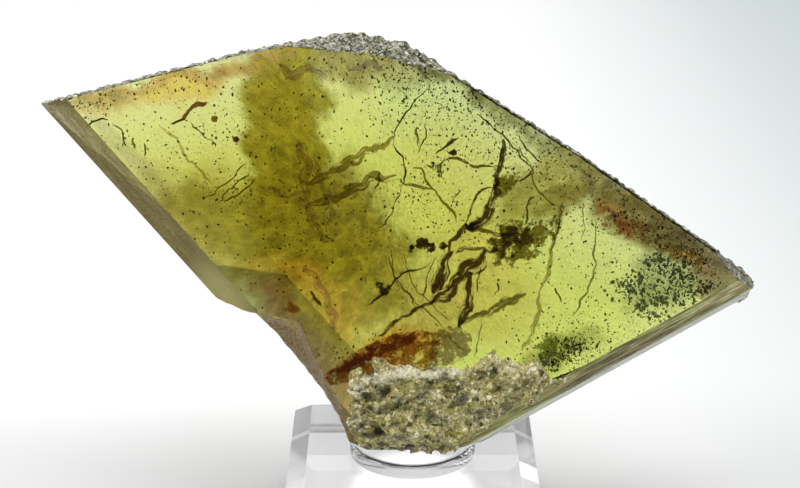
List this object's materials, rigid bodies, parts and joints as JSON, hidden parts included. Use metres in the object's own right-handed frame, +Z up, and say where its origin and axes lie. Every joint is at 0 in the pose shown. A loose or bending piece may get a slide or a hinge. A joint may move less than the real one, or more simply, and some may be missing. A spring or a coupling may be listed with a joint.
{
  "type": "titanite crystal on a display stand",
  "caption": "Flat, wedge-edged yellow-green titanite crystal with a granular matrix crust, standing on a clear round pad and a small bevelled acrylic block.",
  "frame": {"origin": "centre of the acrylic block's underside, on the surface that the part stands on", "axes": "+Z up, +X along the crystal towards its right tip as seen from the front, -Y towards the front"},
  "size_m": [0.0564, 0.0204, 0.0418],
  "materials": {
    "titanite": "clear yellow-green crystal with flat natural faces, an etched and drusy upper edge and a shell-like break",
    "matrix_rock": "rough, granular, unpolished",
    "clear_silicone": "moulded, clear",
    "clear_acrylic": "polished, with diamond-cut bevels"
  },
  "bodies": {
    "root": {"titanite_crystal": "titanite", "matrix_crust": "matrix_rock", "support_pad": "clear_silicone", "acrylic_base": "clear_acrylic"}
  },
  "joints": []
}
